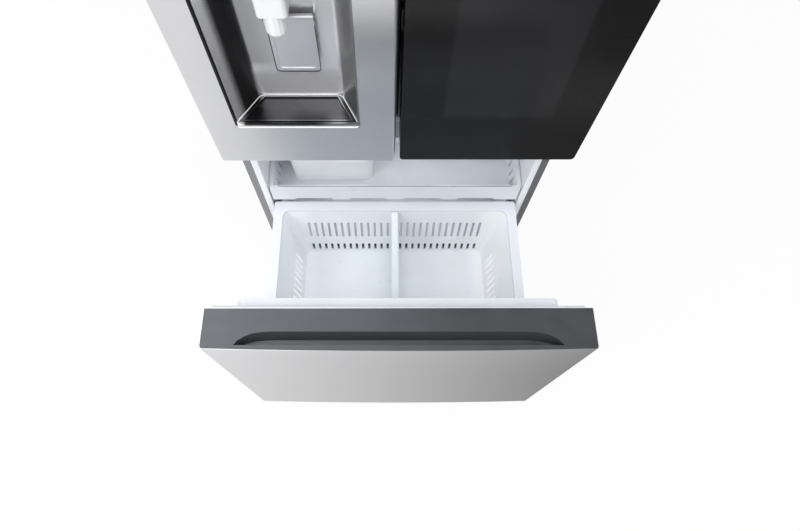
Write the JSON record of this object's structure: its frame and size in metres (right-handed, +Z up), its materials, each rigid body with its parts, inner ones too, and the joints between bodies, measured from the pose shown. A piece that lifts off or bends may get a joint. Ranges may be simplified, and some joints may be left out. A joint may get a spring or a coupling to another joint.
{
  "type": "bottom freezer refrigerator",
  "caption": "Refrigerator with two hinged upper doors, a water and ice dispenser, a glass front panel and a pull-out bottom freezer drawer with basket and tray.",
  "frame": {"origin": "centre of the footprint at floor level, with the freezer drawer pulled out", "axes": "+X to the right along the front, +Y from the front to the back, +Z up"},
  "size_m": [0.908, 1.338, 1.784],
  "materials": {
    "cabinet_grey": "satin",
    "foam": "matt",
    "zinc_steel": "satin",
    "stainless": "brushed",
    "door_frame": "satin",
    "black_glass": "gloss",
    "clear_glass": "gloss",
    "liner_white": "satin",
    "frosted_plastic": "satin",
    "divider_grey": "satin",
    "seal_grey": "matt",
    "cap_grey": "satin",
    "dispenser_dark": "satin",
    "black_plastic": "satin",
    "spout_silver": "satin",
    "compressor_black": "satin"
  },
  "bodies": {
    "cabinet": {"case": "cabinet_grey", "insulation": "foam", "back_panel": "zinc_steel", "fresh_liner": "liner_white", "freezer_liner": "liner_white", "base_frame": "zinc_steel", "kick_grille": "cap_grey", "top_hinge_left": "cap_grey", "top_hinge_right": "cap_grey", "centre_hinge_left": "zinc_steel", "centre_hinge_right": "zinc_steel", "shelf_top_left": "clear_glass", "shelf_top_right": "clear_glass", "shelf_middle": "clear_glass", "crisper_cover": "clear_glass", "crisper_left": "frosted_plastic", "crisper_right": "frosted_plastic", "air_tower": "liner_white", "ceiling_lamp": "frosted_plastic", "evaporator_cover": "liner_white", "slide_channel_left": "zinc_steel", "slide_channel_right": "zinc_steel", "compressor": "compressor_black", "machine_cover": "zinc_steel", "power_inlet": "black_plastic"},
    "left_door": {"left_door_skin": "stainless", "left_door_liner": "liner_white", "left_door_seal": "seal_grey", "dispenser_housing": "dispenser_dark", "drip_tray": "dispenser_dark", "dispenser_nozzle": "spout_silver", "left_bin_lower": "frosted_plastic", "left_bin_upper": "frosted_plastic"},
    "mullion_flap": {"mullion_flap": "door_frame"},
    "dispenser_paddle": {"dispenser_paddle": "dispenser_dark"},
    "right_door": {"right_door_frame": "door_frame", "right_door_glass": "black_glass", "right_door_window": "clear_glass", "right_door_liner": "liner_white", "right_door_seal": "seal_grey", "right_bin_lower": "frosted_plastic", "right_bin_middle": "frosted_plastic", "right_bin_upper": "frosted_plastic"},
    "freezer_drawer": {"drawer_skin": "stainless", "drawer_cap": "cap_grey", "drawer_liner": "liner_white", "drawer_seal": "seal_grey", "basket": "frosted_plastic", "basket_divider": "divider_grey", "drawer_rail_left": "zinc_steel", "drawer_rail_right": "zinc_steel"},
    "slide_members": {"slide_member_left": "zinc_steel", "slide_member_right": "zinc_steel"},
    "freezer_tray": {"freezer_tray": "frosted_plastic", "ice_bin": "liner_white"},
    "condenser_fan": {"condenser_fan": "black_plastic"},
    "roller_left": {"roller_left": "black_plastic"},
    "roller_right": {"roller_right": "black_plastic"},
    "levelling_leg_left": {"levelling_leg_left": "black_plastic"},
    "levelling_leg_right": {"levelling_leg_right": "black_plastic"}
  },
  "joints": [
    {"name": "left_door_hinge", "type": "hinge", "parent": "cabinet", "child": "left_door", "pos_m": [-0.429, -0.086, 1.226], "axis": [0, 0, -1], "range_deg": [0, 115]},
    {"name": "mullion_flap_hinge", "type": "hinge", "parent": "left_door", "child": "mullion_flap", "pos_m": [-0.048, -0.037, 1.212], "axis": [0, 0, 1], "range_deg": [0, 90]},
    {"name": "dispenser_paddle_hinge", "type": "hinge", "parent": "left_door", "child": "dispenser_paddle", "pos_m": [-0.22, -0.093, 1.062], "axis": [1, 0, 0], "range_deg": [0, 4.5], "stiffness_Nm_per_rad": 0.6},
    {"name": "right_door_hinge", "type": "hinge", "parent": "cabinet", "child": "right_door", "pos_m": [0.429, -0.086, 1.226], "axis": [0, 0, 1], "range_deg": [0, 115]},
    {"name": "freezer_drawer_slide", "type": "slide", "parent": "cabinet", "child": "freezer_drawer", "axis": [0, -1, 0], "range_m": [-0.502, 0]},
    {"name": "slide_member_slide", "type": "slide", "parent": "cabinet", "child": "slide_members", "axis": [0, -1, 0], "range_m": [-0.251, 0]},
    {"name": "freezer_tray_slide", "type": "slide", "parent": "cabinet", "child": "freezer_tray", "axis": [0, -1, 0], "range_m": [0, 0.33]},
    {"name": "condenser_fan_spin", "type": "hinge", "parent": "cabinet", "child": "condenser_fan", "pos_m": [0.026, 0.574, 0.138], "axis": [1, 0, 0], "continuous": true},
    {"name": "roller_left_spin", "type": "hinge", "parent": "cabinet", "child": "roller_left", "pos_m": [-0.413, 0.614, 0.0175], "axis": [1, 0, 0], "continuous": true},
    {"name": "roller_right_spin", "type": "hinge", "parent": "cabinet", "child": "roller_right", "pos_m": [0.413, 0.614, 0.0175], "axis": [1, 0, 0], "continuous": true},
    {"name": "levelling_leg_left_turn", "type": "hinge", "parent": "cabinet", "child": "levelling_leg_left", "pos_m": [-0.413, -0.011, 0], "axis": [0, 0, 1], "continuous": true},
    {"name": "levelling_leg_right_turn", "type": "hinge", "parent": "cabinet", "child": "levelling_leg_right", "pos_m": [0.413, -0.011, 0], "axis": [0, 0, 1], "continuous": true}
  ],
  "couplings": [
    {"joint": "mullion_flap_hinge", "follows": "left_door_hinge", "ratio": 0.78},
    {"joint": "slide_member_slide", "follows": "freezer_drawer_slide", "ratio": 0.5}
  ]
}
